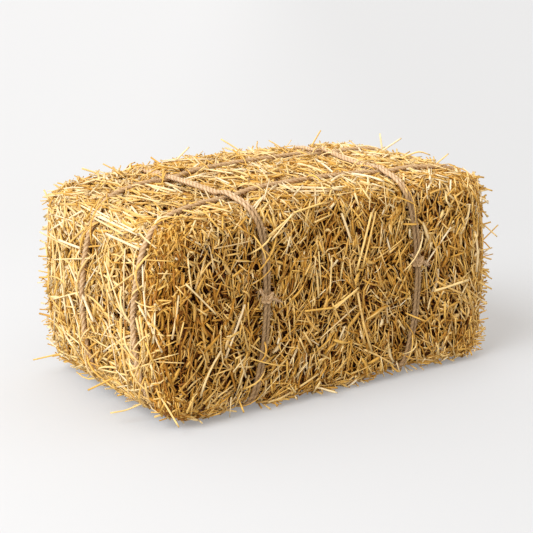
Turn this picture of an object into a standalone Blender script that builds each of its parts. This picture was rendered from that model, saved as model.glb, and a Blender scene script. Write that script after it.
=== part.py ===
"""A small square straw bale: a row of pressed flakes, tied with two lengthwise ropes and two knotted cross twines.

Metres, +Z up, +X along the bale. The origin is the centre of the underside, and the knots are on the -Y side.
The straw bale is modelled as its flakes, the slices that a baler presses one at a time. Longer stalks that work
loose from the surface are pieces of their own, each pushed into a socket in the flakes.
"""

import math
import random

import bmesh
import bpy
from mathutils import Quaternion, Vector

# Driving dimensions
BALE_LENGTH = 0.85
BALE_WIDTH = 0.485
BALE_HEIGHT = 0.42
FLAKE_COUNT = 9
ROPE_DIAMETER = 0.0115
TWINE_DIAMETER = 0.0078
GAP = 0.0005

# Outer form of the straw
TOP_CORNER = 0.045
BOTTOM_CORNER = 0.034
END_ROUNDING = 0.064
END_BULGE = 0.024
TOP_CROWN = 0.008
SIDE_CROWN = 0.014
LEFT_DROP = 0.020
RIGHT_DROP = 0.012
LEFT_LIFT = 0.008
LIFT_START = 0.14
FLAKE_EDGE = 0.006
ROUGHNESS = 0.0035
# Rings that close an end: the share of the height, and the share of the rounded strip on each side
END_RINGS = ((0.955, 0.80), (0.90, 0.58), (0.82, 0.36), (0.70, 0.20), (0.46, 0.08))

# Lengthwise ropes: their Y at the left end, the middle and the right end, how far they shift and sway in Y down
# the left end, and the height of their knots on the right end
ROPES = {
    "long_rope_front": {"ys": (-0.172, -0.136, -0.152), "shift": -0.018, "sway": 0.028, "knot": 0.19},
    "long_rope_back": {"ys": (0.030, 0.074, 0.085), "shift": -0.034, "sway": 0.016, "knot": 0.24},
}
SHIFT_REACH = 0.040
TOP_NOTCH = 0.006
BOTTOM_NOTCH = 0.0245
NOTCH_FLOOR = 0.0085
NOTCH_MOUTH = 0.015

# Cross twines: X of the loop, its skew per metre of Y, height of the knot, and how far the knot pulls the loop into
# a bow along the bale, with the height of the bow's middle and its half length
TWINES = {
    "cross_twine_left": {"x": -0.205, "skew": 0.0, "knot": 0.228, "pull": 0.035, "middle": 0.24, "reach": 0.25},
    "cross_twine_right": {"x": 0.190, "skew": 0.11, "knot": 0.242, "pull": 0.035, "middle": 0.20, "reach": 0.22},
}
# Where the bow starts on the top and the underside and where it is full, as shares of the half width
BOW_START = 0.62
BOW_FULL = 0.98
# Turns of a knot, as height above its middle and tilt in radians, and its tails: on a rope as side and fall, on
# a twine as steps from the knot's middle
ROPE_WRAPS = ((0.0033, 0.45), (-0.0033, -0.40))
ROPE_TAILS = ((1, 0.022), (-1, -0.026))
TWINE_WRAPS = ((0.0070, -0.42), (-0.0062, -0.10))
TWINE_TAILS = (
    ((0.006, 0.0, 0.006), (0.015, -0.004, 0.016), (0.020, -0.006, 0.030)),
    ((0.005, 0.0, -0.004), (0.016, -0.006, -0.002), (0.026, -0.004, -0.012)),
)
TWINE_SPACING = 0.0074
TWINE_STAND_OFF = 0.0018
PINCH_FLOOR = 0.014
PINCH_REACH = 0.030
TOP_PINCH = 0.006
SIDE_PINCH = 0.007
CORNER_PINCH = 0.002
BOTTOM_PINCH = 0.0110

# Stalks that stand out of the straw: where each leaves the surface, its heading in plan and its rise (both in
# degrees), how far it reaches out, and how much it bends over at its middle
LOOSE_STALKS = (
    {"at": (-0.100, 0.215, 0.402), "heading": 340, "rise": 43, "reach": 0.050, "bend": 0},
    {"at": (0.080, 0.215, 0.405), "heading": 135, "rise": 33, "reach": 0.058, "bend": 4},
    {"at": (-0.270, 0.190, 0.396), "heading": 140, "rise": 22, "reach": 0.055, "bend": 6},
    {"at": (-0.225, 0.210, 0.396), "heading": 138, "rise": 26, "reach": 0.044, "bend": 0},
    {"at": (-0.385, 0.200, 0.335), "heading": 115, "rise": 60, "reach": 0.052, "bend": 0},
    {"at": (-0.412, 0.070, 0.290), "heading": 140, "rise": 28, "reach": 0.074, "bend": 0},
    {"at": (-0.400, 0.180, 0.045), "heading": 150, "rise": -12, "reach": 0.053, "bend": 0},
    {"at": (-0.405, -0.080, 0.075), "heading": 155, "rise": -24, "reach": 0.062, "bend": 0},
    {"at": (-0.390, -0.140, 0.034), "heading": 165, "rise": -18, "reach": 0.060, "bend": -16},
    {"at": (-0.385, -0.215, 0.062), "heading": 290, "rise": -50, "reach": 0.056, "bend": 0},
    {"at": (-0.225, -0.220, 0.036), "heading": 260, "rise": -36, "reach": 0.034, "bend": 0},
    {"at": (-0.050, -0.225, 0.024), "heading": 318, "rise": -14, "reach": 0.048, "bend": 0},
    {"at": (0.400, -0.170, 0.034), "heading": 322, "rise": -22, "reach": 0.050, "bend": -75},
    {"at": (0.405, -0.195, 0.240), "heading": 340, "rise": 43, "reach": 0.056, "bend": 0},
    {"at": (0.400, -0.200, 0.290), "heading": 310, "rise": -40, "reach": 0.048, "bend": 0},
    {"at": (0.405, -0.180, 0.120), "heading": 342, "rise": 45, "reach": 0.042, "bend": 0},
    {"at": (0.385, -0.190, 0.365), "heading": 325, "rise": -8, "reach": 0.042, "bend": 10},
    {"at": (0.340, -0.035, 0.412), "heading": 330, "rise": 20, "reach": 0.050, "bend": 42},
    {"at": (0.330, -0.130, 0.406), "heading": 338, "rise": 38, "reach": 0.038, "bend": 0},
    {"at": (0.360, 0.065, 0.410), "heading": 335, "rise": 32, "reach": 0.040, "bend": 0},
    {"at": (0.385, 0.110, 0.400), "heading": 80, "rise": 70, "reach": 0.034, "bend": 0},
    {"at": (0.245, 0.190, 0.405), "heading": 350, "rise": 56, "reach": 0.044, "bend": 0},
    {"at": (0.170, 0.185, 0.406), "heading": 134, "rise": 35, "reach": 0.042, "bend": 8},
    {"at": (0.060, 0.236, 0.230), "heading": 80, "rise": 12, "reach": 0.050, "bend": 16},
    {"at": (-0.280, 0.234, 0.130), "heading": 110, "rise": -10, "reach": 0.046, "bend": 0},
    {"at": (0.290, 0.234, 0.310), "heading": 65, "rise": 25, "reach": 0.048, "bend": 0},
    {"at": (0.418, 0.040, 0.210), "heading": 15, "rise": -10, "reach": 0.054, "bend": 12},
    {"at": (0.414, 0.110, 0.320), "heading": 30, "rise": 22, "reach": 0.044, "bend": 0},
)
STALK_DIAMETER = 0.0050
STALK_ROOT = 0.022
SOCKET_DEPTH = 0.003
SOCKET_CLEARANCE = 0.0006

STRAW_COLOUR = (0.66, 0.43, 0.16, 1.0)
STALK_COLOUR = (0.74, 0.52, 0.22, 1.0)
ROPE_COLOUR = (0.47, 0.33, 0.20, 1.0)
TWINE_COLOUR = (0.55, 0.42, 0.28, 1.0)

ROPE_RADIUS = ROPE_DIAMETER / 2
TWINE_RADIUS = TWINE_DIAMETER / 2
HALF_LENGTH = BALE_LENGTH / 2
END_RIM = HALF_LENGTH - END_BULGE - END_ROUNDING
HALF_WIDTH = BALE_WIDTH / 2
MID_HEIGHT = BALE_HEIGHT / 2


def spread(low, high, count):
    """Evenly spaced values from low to high."""
    return [low + (high - low) * i / (count - 1) for i in range(count)]


def material(name, colour, roughness):
    made = bpy.data.materials.new(name)
    made.use_nodes = True
    shader = made.node_tree.nodes["Principled BSDF"]
    shader.inputs["Base Color"].default_value = colour
    shader.inputs["Roughness"].default_value = roughness
    shader.inputs["Metallic"].default_value = 0.0
    return made


# Outer form


def rope_y(rope, x):
    """Y of a lengthwise rope where it passes x on the top or the underside, on a curve through its three places."""
    left, middle, right = ROPES[rope]["ys"]
    t = min(1.0, max(0.0, 0.5 * (x / END_RIM + 1)))
    return left * (1 - t) * (1 - 2 * t) + 4 * middle * t * (1 - t) + right * t * (2 * t - 1)


def rope_end_y(rope, side, z):
    """Y of a lengthwise rope at a height on an end of the bale. Down the left end it shifts over and sways."""
    y = rope_y(rope, side * HALF_LENGTH)
    if side > 0:
        return y
    plan = ROPES[rope]
    fall = min(1.0, max(0.0, BALE_HEIGHT - top_slope(side * END_RIM, y) - z) / END_ROUNDING)
    climb = min(1.0, max(0.0, z - BOTTOM_NOTCH) / SHIFT_REACH)
    share = min((1 - (1 - fall) ** 2) ** 0.75, climb**2 * (3 - 2 * climb))
    return y + plan["shift"] * share + plan["sway"] * math.sin(math.pi * z / BALE_HEIGHT) ** 2


def twine_x(twine, y, z):
    """X of a cross twine. On the front face its knot pulls it along the bale."""
    plan = TWINES[twine]
    bow = max(0.0, 1.0 - ((z - plan["middle"]) / plan["reach"]) ** 2)
    on_front = min(1.0, max(0.0, (-y / HALF_WIDTH - BOW_START) / (BOW_FULL - BOW_START)))
    return plan["x"] + plan["skew"] * y + plan["pull"] * bow * on_front


def pinch(x, y, z):
    """How far the twines squeeze the straw at a point, from 0 to 1."""
    away = min(abs(x - twine_x(twine, y, z)) for twine in TWINES)
    return math.exp(-((max(0.0, away - PINCH_FLOOR) / PINCH_REACH) ** 2))


def notch(x, y, depth):
    """Depth of the valley that a lengthwise rope presses into the straw."""
    away = min(abs(y - rope_y(rope, x)) for rope in ROPES)
    share = (NOTCH_MOUTH - away) / (NOTCH_MOUTH - NOTCH_FLOOR)
    return depth * min(1.0, max(0.0, share))


def top_slope(x, y):
    """How far the top falls away to the long sides and to the ends."""
    drop = LEFT_DROP if x < 0 else RIGHT_DROP
    return TOP_CROWN * (y / HALF_WIDTH) ** 2 + drop * min(1.0, abs(x) / END_RIM) ** 3


def top_sink(x, y):
    """How far the straw's top lies under the full height, leaving out the rope valleys."""
    return top_slope(x, y) + TOP_PINCH * pinch(x, y, BALE_HEIGHT)


def side_sink(x, y, z):
    """How far a long side lies inside the full width."""
    crown = SIDE_CROWN * ((z - MID_HEIGHT) / MID_HEIGHT) ** 2
    return crown + SIDE_PINCH * pinch(x, y, z)


def bottom_lift(x):
    """How far the underside rises to the left end."""
    return LEFT_LIFT * min(1.0, max(0.0, -x - LIFT_START) / (END_RIM - LIFT_START)) ** 2


def bottom_sink(x, y):
    """How far the underside lies above the ground, leaving out the rope valleys."""
    return bottom_lift(x) + BOTTOM_PINCH * pinch(x, y, 0.0)


def base_points(bottom_ys, top_ys, side_count, arc_count):
    """A rounded rectangle, anticlockwise seen from +X, as (y, z, normal y, normal z)."""
    corners = (
        (1, BOTTOM_CORNER, BOTTOM_CORNER, -90),
        (1, TOP_CORNER, BALE_HEIGHT - TOP_CORNER, 0),
        (-1, TOP_CORNER, BALE_HEIGHT - TOP_CORNER, 90),
        (-1, BOTTOM_CORNER, BOTTOM_CORNER, 180),
    )
    arcs = []
    for side, radius, centre_z, start in corners:
        turn = [math.radians(a) for a in spread(start, start + 90, arc_count)]
        centre_y = side * (HALF_WIDTH - radius)
        arcs.append(
            [
                (centre_y + radius * math.cos(a), centre_z + radius * math.sin(a), math.cos(a), math.sin(a))
                for a in turn
            ]
        )
    side_zs = spread(BOTTOM_CORNER, BALE_HEIGHT - TOP_CORNER, side_count + 2)[1:-1]
    bottom = [(y, 0.0, 0.0, -1.0) for y in bottom_ys]
    right = [(HALF_WIDTH, z, 1.0, 0.0) for z in side_zs]
    top = [(y, BALE_HEIGHT, 0.0, 1.0) for y in reversed(top_ys)]
    left = [(-HALF_WIDTH, z, -1.0, 0.0) for z in reversed(side_zs)]
    return bottom + arcs[0] + right + arcs[1] + top + arcs[2] + left + arcs[3]


def sink_at(x, y, z, normal_y, normal_z):
    """How far the straw lies inside the rounded rectangle at one of its points, without the rope valleys."""
    upright = normal_z * normal_z
    face = top_sink(x, y) if normal_z > 0 else bottom_sink(x, y)
    corner = 4 * upright * (1 - upright) * CORNER_PINCH * pinch(x, y, z)
    return upright * face + (1 - upright) * side_sink(x, y, z) + corner


def flake_ys(x):
    """Y stations on the top and underside of a flake: the edges of each rope valley, and the stretch between."""
    stations = [0.5 * (rope_y("long_rope_front", x) + rope_y("long_rope_back", x))]
    for rope in ROPES:
        for away in (-NOTCH_MOUTH, -NOTCH_FLOOR, NOTCH_FLOOR, NOTCH_MOUTH):
            stations.append(rope_y(rope, x) + away)
    return sorted(stations)


def section(x, inset, rough):
    """The outline of the straw at x, moved in by inset, as (y, z) points."""
    ys = flake_ys(x)
    points = []
    for i, (y, z, normal_y, normal_z) in enumerate(base_points(ys, ys, 3, 4)):
        depth = sink_at(x, y, z, normal_y, normal_z) + inset
        if normal_z == 1.0:
            depth += notch(x, y, TOP_NOTCH)
        elif normal_z == -1.0:
            depth += notch(x, y, BOTTOM_NOTCH)
        if normal_z > -0.9:
            depth += rough[i]
        points.append((y - normal_y * depth, z - normal_z * depth))
    return points


def end_reach(side, y, z):
    """How far an end of the bale stands from its middle at a height and width, its edges rounded."""
    crown_y = 1 - min(1.0, abs(y) / HALF_WIDTH) ** 2
    crown_z = 1 - min(1.0, abs(z - MID_HEIGHT) / MID_HEIGHT) ** 2
    top = BALE_HEIGHT - top_slope(side * END_RIM, y)
    flank = HALF_WIDTH - SIDE_CROWN * ((z - MID_HEIGHT) / MID_HEIGHT) ** 2
    short_y = max(0.0, END_ROUNDING - (flank - abs(y)))
    short_z = max(0.0, END_ROUNDING - min(top - z, z - bottom_lift(side * END_RIM)))
    short = min(END_ROUNDING, math.hypot(short_y, short_z))
    rounding = END_ROUNDING - math.sqrt(END_ROUNDING**2 - short**2)
    return HALF_LENGTH - END_BULGE * (1 - crown_y * crown_z) - rounding


# Flakes


def loft(name, rings, finish):
    """A closed solid through rings of points that run from -X to +X."""
    shape = bmesh.new()
    verts = [[shape.verts.new(p) for p in ring] for ring in rings]
    count = len(rings[0])
    for one, two in zip(verts, verts[1:]):
        for i in range(count):
            j = (i + 1) % count
            shape.faces.new((one[i], one[j], two[j], two[i]))
    shape.faces.new(list(reversed(verts[0])))
    shape.faces.new(verts[-1])
    mesh = bpy.data.meshes.new(name)
    shape.to_mesh(mesh)
    shape.free()
    mesh.shade_smooth()
    mesh.set_sharp_from_angle(angle=math.radians(35))
    mesh.materials.append(finish)
    return bpy.data.objects.new(name, mesh)


def flake_stations(low, high):
    """X of each ring of an inner flake and its inset: rounded edges, and rings where a twine presses."""
    rings = [(low, FLAKE_EDGE), (low + FLAKE_EDGE, 0.0), (high - FLAKE_EDGE, 0.0), (high, FLAKE_EDGE)]
    for plan in TWINES.values():
        for away in (-0.036, -0.018, 0.0, 0.018, 0.036):
            x = plan["x"] + away
            if low + 2 * FLAKE_EDGE < x < high - 2 * FLAKE_EDGE:
                rings.append((x, 0.0))
    return sorted(rings)


def end_rings(rim, side):
    """Rings that close the end of the bale, from its rim inwards."""
    strip = HALF_WIDTH - END_ROUNDING
    rings = []
    for height_share, strip_share in ((1.0, 1.0), *END_RINGS):
        ring = []
        for y, z in rim:
            beyond = math.copysign(max(0.0, abs(y) - strip), y)
            ring.append((y - beyond * (1 - strip_share), MID_HEIGHT + (z - MID_HEIGHT) * height_share))
        rings.append([(side * end_reach(side, y, z), y, z) for y, z in ring])
    return rings


def build_flake(index, finish):
    """One pressed slice of straw. The first and last also carry the rounded ends of the bale."""
    rng = random.Random(100 + index)
    pitch = BALE_LENGTH / FLAKE_COUNT
    low = -HALF_LENGTH + pitch * index + GAP / 2
    high = -HALF_LENGTH + pitch * (index + 1) - GAP / 2
    count = len(base_points(flake_ys(0.0), flake_ys(0.0), 3, 4))
    rough = [rng.uniform(0.0, ROUGHNESS) for _ in range(count)]
    stations = flake_stations(low, high)
    if index == 0:
        stations = [(x, inset) for x, inset in stations if x > -END_RIM]
    elif index == FLAKE_COUNT - 1:
        stations = [(x, inset) for x, inset in stations if x < END_RIM]
    rings = [[(x, y, z) for y, z in section(x, inset, rough)] for x, inset in stations]
    if index == 0:
        rings = list(reversed(end_rings(section(-END_RIM, 0.0, rough), -1))) + rings
    elif index == FLAKE_COUNT - 1:
        rings = rings + end_rings(section(END_RIM, 0.0, rough), 1)
    return loft(f"flake_{index + 1:02d}", rings, finish)


# Ropes and twines


def cord_curve(name, points, radius, finish, closed=True):
    """A round cord through points."""
    data = bpy.data.curves.new(name, "CURVE")
    data.dimensions = "3D"
    data.bevel_depth = radius
    data.bevel_resolution = 1
    data.use_fill_caps = not closed
    spline = data.splines.new("POLY")
    spline.points.add(len(points) - 1)
    for place, point in zip(spline.points, points):
        place.co = (*point, 1.0)
    spline.use_cyclic_u = closed
    data.materials.append(finish)
    return bpy.data.objects.new(name, data)


def as_mesh(obj):
    """A curve object turned into a mesh object with welded caps."""
    bpy.context.scene.collection.objects.link(obj)
    graph = bpy.context.evaluated_depsgraph_get()
    mesh = bpy.data.meshes.new_from_object(obj.evaluated_get(graph))
    shape = bmesh.new()
    shape.from_mesh(mesh)
    bmesh.ops.remove_doubles(shape, verts=shape.verts, dist=1e-5)
    bmesh.ops.recalc_face_normals(shape, faces=shape.faces)
    shape.to_mesh(mesh)
    shape.free()
    made = bpy.data.objects.new(obj.name + "_mesh", mesh)
    made.matrix_world = obj.matrix_world.copy()
    bpy.data.objects.remove(obj)
    return made


def rope_route(rope):
    """The closed line of a lengthwise rope, over the top from left to right and back under the bale."""
    stand_off = ROPE_RADIUS + GAP
    near_twines = [plan["x"] + away for plan in TWINES.values() for away in (-0.05, -0.022, 0.0, 0.022, 0.05)]
    plain = [x for x in spread(-END_RIM, END_RIM, 9) if min(abs(x - t) for t in near_twines) > 0.02]
    over = [
        (x, rope_y(rope, x), BALE_HEIGHT - top_sink(x, rope_y(rope, x)) - TOP_NOTCH + stand_off)
        for x in sorted(plain + near_twines)
    ]
    under = [(x, rope_y(rope, x), BOTTOM_NOTCH - stand_off) for x in spread(END_RIM, -END_RIM, 5)]
    return over + rope_end(rope, 1) + under + rope_end(rope, -1)


def rope_end(rope, side):
    """The stretch of a rope over one end of the bale: down on the right, and up on the left."""
    stand_off = ROPE_RADIUS + GAP
    top = BALE_HEIGHT - top_slope(side * END_RIM, rope_y(rope, side * HALF_LENGTH))
    low = bottom_lift(side * END_RIM)
    top_angle = math.acos(1 - TOP_NOTCH / END_ROUNDING)
    bottom_angle = math.acos(1 - (BOTTOM_NOTCH - low) / END_ROUNDING)
    turn = math.pi / 2
    stretch = [(top - TOP_NOTCH, 0.0)]
    for angle in spread(top_angle, turn, 5):
        stretch.append((top - END_ROUNDING * (1 - math.cos(angle)), angle))
    for z in spread(top - END_ROUNDING, low + END_ROUNDING, 6)[1:-1]:
        stretch.append((z, turn))
    for angle in spread(turn, bottom_angle, 4):
        stretch.append((low + END_ROUNDING * (1 - math.cos(angle)), math.pi - angle))
    stretch.append((BOTTOM_NOTCH, math.pi))
    points = []
    for z, angle in stretch:
        y = rope_end_y(rope, side, z)
        x = end_reach(side, y, z) + stand_off * math.sin(angle)
        points.append((side * x, y, z + stand_off * math.cos(angle)))
    return points if side > 0 else list(reversed(points))


def twine_ys(plan, over_top):
    """Y stations of a cross twine on the top, closer where it rides over a rope, or on the underside."""
    straight = HALF_WIDTH - (TOP_CORNER if over_top else BOTTOM_CORNER)
    if not over_top:
        return spread(-straight, straight, 6)[1:-1]
    crossings = [rope_y(rope, plan["x"]) for rope in ROPES]
    close = [y + away for y in crossings for away in (-0.032, -0.017, -0.006, 0.006, 0.017, 0.032)]
    plain = [y for y in spread(-straight, straight, 9)[1:-1] if min(abs(y - c) for c in close) > 0.018]
    return sorted(close + plain)


def twine_route(twine):
    """The closed line of a cross twine, midway between its two strands."""
    plan = TWINES[twine]
    stand_off = TWINE_RADIUS + TWINE_STAND_OFF
    ride = 2 * ROPE_RADIUS - TOP_NOTCH + GAP
    points = []
    for y, z, normal_y, normal_z in base_points(twine_ys(plan, False), twine_ys(plan, True), 5, 4):
        x = twine_x(twine, y, z)
        out = stand_off - sink_at(x, y, z, normal_y, normal_z)
        if normal_z == 1.0:
            away = min(abs(y - rope_y(rope, x)) for rope in ROPES)
            out += ride * math.exp(-((away / 0.017) ** 2))
        place = (x, y + normal_y * out, max(z + normal_z * out, TWINE_RADIUS + GAP))
        points.append(place)
    return points


def strand_pair_profile():
    """Section of two strands lying side by side, as a guide curve that is not part of the bale."""
    half_opening = 25
    lobe = [math.radians(a) for a in spread(half_opening, 360 - half_opening, 4)]
    shift = TWINE_SPACING / 2
    left = [(-shift + TWINE_RADIUS * math.cos(a), TWINE_RADIUS * math.sin(a)) for a in lobe]
    right = [(-y, -z) for y, z in left]
    data = bpy.data.curves.new("strand_pair_profile", "CURVE")
    data.dimensions = "2D"
    spline = data.splines.new("POLY")
    spline.points.add(len(left) + len(right) - 1)
    for place, (u, v) in zip(spline.points, left + right):
        place.co = (u, v, 0.0, 1.0)
    spline.use_cyclic_u = True
    guide = bpy.data.objects.new("strand_pair_profile", data)
    guide.hide_render = True
    guide.display_type = "WIRE"
    return guide


def ring_piece(name, centre, size, tube, tilt, finish):
    """One turn of cord round the strands, as a torus pressed to an oval."""
    bpy.ops.mesh.primitive_torus_add(
        major_radius=1.0, minor_radius=0.3, major_segments=10, minor_segments=5, location=(0, 0, 0)
    )
    obj = bpy.context.active_object
    obj.name = name
    for vert in obj.data.vertices:
        flat = Vector((vert.co.x, vert.co.y, 0.0))
        spoke = flat.normalized()
        tube_part = (flat - spoke) * (tube / 0.3)
        vert.co = Vector((spoke.x * size[0], spoke.y * size[1], vert.co.z * (tube / 0.3))) + tube_part
    obj.rotation_euler = tilt
    obj.location = centre
    obj.data.materials.append(finish)
    bpy.context.view_layer.update()
    obj.data.transform(obj.matrix_world)
    obj.matrix_world.identity()
    return obj


def unite(body, extras, helpers):
    """Joins extra shapes to a mesh object with Boolean unions."""
    for extra in extras:
        join = body.modifiers.new("join_" + extra.name, "BOOLEAN")
        join.operation = "UNION"
        join.object = extra
        extra.hide_render = True
        extra.display_type = "WIRE"
        move_to(extra, helpers)


def move_to(obj, collection):
    for home in list(obj.users_collection):
        home.objects.unlink(obj)
    collection.objects.link(obj)


def build_rope(rope, finish, bale, helpers):
    """A lengthwise rope, closed by a knot with two short tails on the far end of the bale."""
    body = as_mesh(cord_curve(rope, rope_route(rope), ROPE_RADIUS, finish))
    body.name = rope
    bale.objects.link(body)
    y = rope_y(rope, HALF_LENGTH)
    z = ROPES[rope]["knot"]
    centre = Vector((end_reach(1, y, z) + ROPE_RADIUS + GAP, y, z))
    around = ROPE_RADIUS * 1.25
    wraps = [
        ring_piece(f"{rope}_wrap_{i}", centre + Vector((ROPE_RADIUS * 0.9, 0, rise)), (around, around),
                   ROPE_RADIUS * 0.72, (tilt, 0, 0), finish)
        for i, (rise, tilt) in enumerate(ROPE_WRAPS)
    ]
    tails = []
    for i, (side, fall) in enumerate(ROPE_TAILS):
        start = centre + Vector((ROPE_RADIUS * 1.2, 0, 0))
        middle = start + Vector((0.004, side * 0.016, -fall * 0.4))
        end = start + Vector((0.003, side * 0.030, -fall))
        tail = as_mesh(cord_curve(f"{rope}_tail_{i}", [start, middle, end], ROPE_RADIUS * 0.7, finish, closed=False))
        helpers.objects.link(tail)
        tails.append(tail)
    unite(body, wraps + tails, helpers)
    return body


def build_twine(twine, finish, profile, bale, helpers):
    """A doubled cross twine with its knot on the front of the bale."""
    plan = TWINES[twine]
    curve = cord_curve(twine, twine_route(twine), 0.0, finish)
    curve.data.bevel_mode = "OBJECT"
    curve.data.bevel_object = profile
    curve.data.twist_mode = "MINIMUM"
    body = as_mesh(curve)
    body.name = twine
    bale.objects.link(body)
    z = plan["knot"]
    x = twine_x(twine, -HALF_WIDTH, z)
    y = -HALF_WIDTH + side_sink(x, -HALF_WIDTH, z) - TWINE_RADIUS - TWINE_STAND_OFF
    centre = Vector((x, y, z))
    oval = (TWINE_SPACING * 0.5 + TWINE_RADIUS * 1.35, TWINE_RADIUS * 1.35)
    front = Vector((0, -TWINE_RADIUS * 0.95, 0))
    wraps = [
        ring_piece(f"{twine}_wrap_{i}", centre + front + Vector((0, 0, rise)), oval,
                   TWINE_RADIUS * 0.85, (0, tilt, 0), finish)
        for i, (rise, tilt) in enumerate(TWINE_WRAPS)
    ]
    tails = []
    for i, run in enumerate(TWINE_TAILS):
        points = [centre + front + Vector(step) for step in run]
        tail = as_mesh(cord_curve(f"{twine}_tail_{i}", points, TWINE_RADIUS * 0.85, finish, closed=False))
        helpers.objects.link(tail)
        tails.append(tail)
    unite(body, wraps + tails, helpers)
    return body


# Loose stalks


def stalk_points(plan, extra_root):
    """Root, bend and tip of a loose stalk. The heading is anticlockwise from +X, seen from above."""
    heading, rise = math.radians(plan["heading"]), math.radians(plan["rise"])
    out = Vector((math.cos(heading) * math.cos(rise), math.sin(heading) * math.cos(rise), math.sin(rise)))
    side = out.cross(Vector((0, 0, 1))).normalized()
    start = Vector(plan["at"])
    middle = start + out * plan["reach"] * 0.5
    bent = out.copy()
    bent.rotate(Quaternion(side, -math.radians(plan["bend"])))
    return [start - out * (STALK_ROOT + extra_root), middle, middle + bent * plan["reach"] * 0.5]


def build_stalk(index, plan, finish, flakes, bale, helpers):
    """A loose stalk, and the socket that its root fills in the flakes that it enters."""
    name = f"loose_stalk_{index + 1:02d}"
    points = stalk_points(plan, 0.0)
    if plan["bend"] == 0:
        points = [points[0], points[-1]]
    stalk = as_mesh(cord_curve(name, points, STALK_DIAMETER / 2, finish, closed=False))
    stalk.name = name
    stalk.data.shade_smooth()
    stalk.data.set_sharp_from_angle(angle=math.radians(50))
    bale.objects.link(stalk)
    root, middle, _ = stalk_points(plan, SOCKET_DEPTH)
    radius = STALK_DIAMETER / 2 + SOCKET_CLEARANCE
    socket = as_mesh(cord_curve(name + "_socket", [root, middle], radius, finish, closed=False))
    socket.hide_render = True
    socket.display_type = "WIRE"
    helpers.objects.link(socket)
    xs = [point.x for point in (root, middle)]
    for flake in flakes:
        box = [corner[0] for corner in flake.bound_box]
        if max(xs) + radius > min(box) and min(xs) - radius < max(box):
            cut = flake.modifiers.new("socket", "BOOLEAN")
            cut.operation = "DIFFERENCE"
            cut.object = socket
    return stalk


def build():
    for obj in list(bpy.data.objects):
        bpy.data.objects.remove(obj)
    scene = bpy.context.scene
    bale = bpy.data.collections.new("straw_bale")
    helpers = bpy.data.collections.new("cutters_and_guides")
    scene.collection.children.link(bale)
    scene.collection.children.link(helpers)

    straw = material("straw", STRAW_COLOUR, 0.7)
    stalk_finish = material("loose_straw", STALK_COLOUR, 0.6)
    rope_finish = material("rope", ROPE_COLOUR, 0.85)
    twine_finish = material("twine", TWINE_COLOUR, 0.85)

    flakes = [build_flake(index, straw) for index in range(FLAKE_COUNT)]
    for flake in flakes:
        bale.objects.link(flake)
    for rope in ROPES:
        build_rope(rope, rope_finish, bale, helpers)
    profile = strand_pair_profile()
    helpers.objects.link(profile)
    for twine in TWINES:
        build_twine(twine, twine_finish, profile, bale, helpers)
    bpy.context.view_layer.update()
    for index, plan in enumerate(LOOSE_STALKS):
        build_stalk(index, plan, stalk_finish, flakes, bale, helpers)


build()
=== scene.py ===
"""Looks of the straw bale: stalks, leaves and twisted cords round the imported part, and the studio."""

import math

import bpy
import numpy as np
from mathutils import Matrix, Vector


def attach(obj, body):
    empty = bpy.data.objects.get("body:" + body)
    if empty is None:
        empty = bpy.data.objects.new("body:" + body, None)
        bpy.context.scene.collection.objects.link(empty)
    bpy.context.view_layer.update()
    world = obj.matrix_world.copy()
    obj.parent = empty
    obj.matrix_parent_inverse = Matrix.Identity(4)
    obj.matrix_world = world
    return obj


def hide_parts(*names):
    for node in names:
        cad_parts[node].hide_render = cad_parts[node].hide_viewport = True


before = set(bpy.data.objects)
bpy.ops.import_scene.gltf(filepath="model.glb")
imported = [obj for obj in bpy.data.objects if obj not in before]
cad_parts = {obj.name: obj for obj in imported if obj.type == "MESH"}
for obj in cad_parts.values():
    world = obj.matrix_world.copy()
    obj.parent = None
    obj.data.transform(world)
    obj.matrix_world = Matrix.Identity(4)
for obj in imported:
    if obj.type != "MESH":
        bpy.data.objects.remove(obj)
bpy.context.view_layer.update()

# Form of the bale, as in the part
BALE_LENGTH = 0.85
BALE_WIDTH = 0.485
BALE_HEIGHT = 0.42
FLAKE_COUNT = 9
TOP_CORNER = 0.045
BOTTOM_CORNER = 0.034
END_ROUNDING = 0.064
END_BULGE = 0.024
TOP_CROWN = 0.008
SIDE_CROWN = 0.014
LEFT_DROP = 0.020
RIGHT_DROP = 0.012
LEFT_LIFT = 0.008
LIFT_START = 0.14
END_LEAN = 0.009
BASE_TUCK = 0.014
ROPES = {
    "long_rope_front": {"ys": (-0.172, -0.136, -0.152), "shift": -0.018, "sway": 0.028, "knot": 0.19},
    "long_rope_back": {"ys": (0.030, 0.074, 0.085), "shift": -0.034, "sway": 0.016, "knot": 0.24},
}
TWINES = {
    "cross_twine_left": {
        "x": -0.205, "skew": 0.0, "knot": 0.228, "pull": 0.035, "middle": 0.24, "reach": 0.25,
    },
    "cross_twine_right": {
        "x": 0.190, "skew": 0.11, "knot": 0.242, "pull": 0.035, "middle": 0.20, "reach": 0.22,
    },
}
BOW_START = 0.62
BOW_FULL = 0.98
ROPE_RADIUS = 0.0056
TWINE_RADIUS = 0.0037
TWINE_SPACING = 0.0076
PINCH_FLOOR = 0.014
PINCH_REACH = 0.030
TOP_PINCH = 0.006
SIDE_PINCH = 0.007
BOTTOM_PINCH = 0.011
TOP_VALLEY = 0.005
BOTTOM_VALLEY = 0.022
END_VALLEY = 0.002
VALLEY_REACH = 0.012

HALF_LENGTH = BALE_LENGTH / 2
HALF_WIDTH = BALE_WIDTH / 2
MID_HEIGHT = BALE_HEIGHT / 2
END_RIM = HALF_LENGTH - END_BULGE - END_ROUNDING
FLAKE_PITCH = BALE_LENGTH / FLAKE_COUNT

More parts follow.
